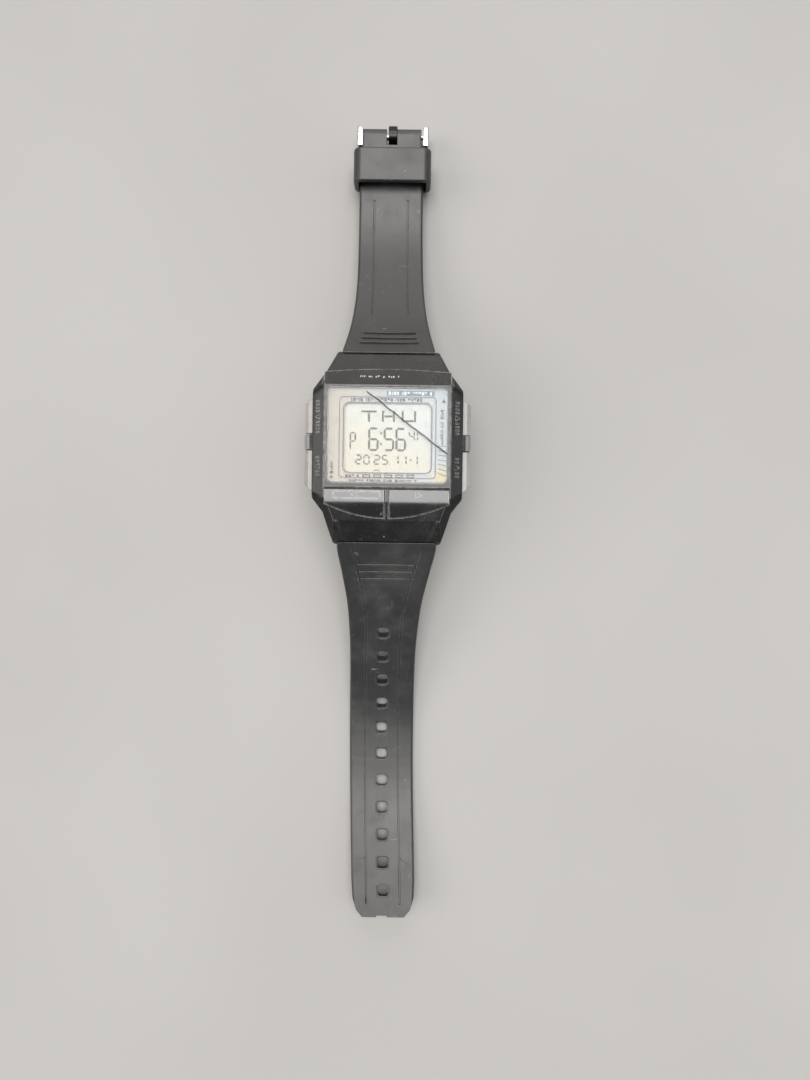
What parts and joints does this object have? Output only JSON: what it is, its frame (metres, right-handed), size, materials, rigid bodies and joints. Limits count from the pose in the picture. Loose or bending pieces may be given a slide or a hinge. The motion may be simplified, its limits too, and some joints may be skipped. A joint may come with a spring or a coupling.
{
  "type": "digital wristwatch",
  "caption": "Rectangular digital wristwatch with side pushers, two front buttons and an open resin strap with keeper and folded pin buckle.",
  "frame": {"origin": "centre of the case back's outer flat face", "axes": "+Z out of the display, +Y toward the buckle strap, +X toward the right-hand pushers seen from the front"},
  "size_m": [0.0376, 0.1933, 0.0243],
  "materials": {
    "case_resin": "satin moulded resin with fine scuffs",
    "strap_resin": "flexible dark grey resin, dusty",
    "frame_gloss": "glossy black",
    "crystal": "clear, polished",
    "steel_back": "fine circular brushing",
    "screw_steel": "plain steel",
    "polished_steel": "polished",
    "bar_steel": "plain steel",
    "pusher_metal": "metallic grey, satin",
    "button_resin": "dark grey shelf, glossy roll",
    "spring_steel": "drawn wire",
    "clip_steel": "stamped sheet",
    "seal_rubber": "black nitrile",
    "mask_print": "printed sheet, silver grey",
    "lcd_glass": "grey-green liquid crystal panel",
    "light_film": "pale film",
    "module_plastic": "moulded, off-white",
    "board": "green laminate",
    "chip_resin": "hard black resin",
    "can_metal": "drawn metal can",
    "cell_steel": "plated steel",
    "contact_brass": "thin brass"
  },
  "bodies": {
    "case": {"case_body": "case_resin", "case_back": "steel_back", "case_back_screws": "screw_steel", "front_frame": "frame_gloss", "crystal": "crystal", "spring_bar_upper": "bar_steel", "spring_bar_lower": "bar_steel", "crystal_gasket": "seal_rubber", "face_mask": "mask_print", "lcd_panel": "lcd_glass", "light_panel": "light_film", "contact_strip_upper": "seal_rubber", "contact_strip_lower": "seal_rubber", "module_frame": "module_plastic", "circuit_board": "board", "chip_cover": "chip_resin", "quartz_can": "can_metal", "cell_holder": "module_plastic", "coin_cell": "cell_steel", "cell_contact": "contact_brass", "battery_clip": "clip_steel", "buzzer_disc": "contact_brass", "buzzer_spring": "spring_steel", "case_back_gasket": "seal_rubber", "pusher_upper_right_spring": "spring_steel", "pusher_lower_right_spring": "spring_steel", "pusher_upper_left_spring": "spring_steel", "pusher_lower_left_spring": "spring_steel", "front_button_right_spring": "spring_steel", "front_button_left_spring": "spring_steel", "pusher_upper_right_seal": "seal_rubber", "pusher_lower_right_seal": "seal_rubber", "pusher_upper_left_seal": "seal_rubber", "pusher_lower_left_seal": "seal_rubber", "front_button_right_seal": "seal_rubber", "front_button_left_seal": "seal_rubber"},
    "pusher_upper_right_body": {"pusher_upper_right": "pusher_metal", "pusher_upper_right_clip": "clip_steel"},
    "pusher_lower_right_body": {"pusher_lower_right": "pusher_metal", "pusher_lower_right_clip": "clip_steel"},
    "pusher_upper_left_body": {"pusher_upper_left": "pusher_metal", "pusher_upper_left_clip": "clip_steel"},
    "pusher_lower_left_body": {"pusher_lower_left": "pusher_metal", "pusher_lower_left_clip": "clip_steel"},
    "front_button_right_body": {"front_button_right": "button_resin", "front_button_right_clip": "clip_steel"},
    "front_button_left_body": {"front_button_left": "button_resin", "front_button_left_clip": "clip_steel"},
    "long_strap_body": {"long_strap": "strap_resin"},
    "short_strap_body": {"short_strap": "strap_resin"},
    "keeper_body": {"keeper_loop": "strap_resin"},
    "buckle_body": {"buckle_frame": "polished_steel", "spring_bar_buckle": "bar_steel"},
    "tongue_body": {"buckle_tongue": "polished_steel"}
  },
  "joints": [
    {"name": "long_strap_hinge", "type": "hinge", "parent": "case", "child": "long_strap_body", "pos_m": [0, -0.0183, 0.0034], "axis": [1, 0, 0], "range_deg": [0, 70]},
    {"name": "short_strap_hinge", "type": "hinge", "parent": "case", "child": "short_strap_body", "pos_m": [0, 0.0183, 0.0034], "axis": [-1, 0, 0], "range_deg": [0, 70]},
    {"name": "keeper_slide", "type": "slide", "parent": "short_strap_body", "child": "keeper_body", "axis": [0, -1, 0], "range_m": [0, 0.008]},
    {"name": "buckle_hinge", "type": "hinge", "parent": "short_strap_body", "child": "buckle_body", "pos_m": [0, 0.0783, -0.00945], "axis": [1, 0, 0], "range_deg": [0, 180]},
    {"name": "tongue_hinge", "type": "hinge", "parent": "buckle_body", "child": "tongue_body", "pos_m": [0, 0.0783, -0.00945], "axis": [1, 0, 0], "range_deg": [0, 60]},
    {"name": "pusher_upper_right_press", "type": "slide", "parent": "case", "child": "pusher_upper_right_body", "axis": [-1, 0, 0], "range_m": [0, 0.0008], "stiffness_N_per_m": 900, "springref_m": -0.0006, "deforming": ["pusher_upper_right_spring"]},
    {"name": "pusher_lower_right_press", "type": "slide", "parent": "case", "child": "pusher_lower_right_body", "axis": [-1, 0, 0], "range_m": [0, 0.0008], "stiffness_N_per_m": 900, "springref_m": -0.0006, "deforming": ["pusher_lower_right_spring"]},
    {"name": "pusher_upper_left_press", "type": "slide", "parent": "case", "child": "pusher_upper_left_body", "axis": [1, 0, 0], "range_m": [0, 0.0008], "stiffness_N_per_m": 900, "springref_m": -0.0006, "deforming": ["pusher_upper_left_spring"]},
    {"name": "pusher_lower_left_press", "type": "slide", "parent": "case", "child": "pusher_lower_left_body", "axis": [1, 0, 0], "range_m": [0, 0.0008], "stiffness_N_per_m": 900, "springref_m": -0.0006, "deforming": ["pusher_lower_left_spring"]},
    {"name": "front_button_right_press", "type": "slide", "parent": "case", "child": "front_button_right_body", "axis": [0, 0, -1], "range_m": [0, 0.0006], "stiffness_N_per_m": 900, "springref_m": -0.0005, "deforming": ["front_button_right_spring"]},
    {"name": "front_button_left_press", "type": "slide", "parent": "case", "child": "front_button_left_body", "axis": [0, 0, -1], "range_m": [0, 0.0006], "stiffness_N_per_m": 900, "springref_m": -0.0005, "deforming": ["front_button_left_spring"]}
  ]
}
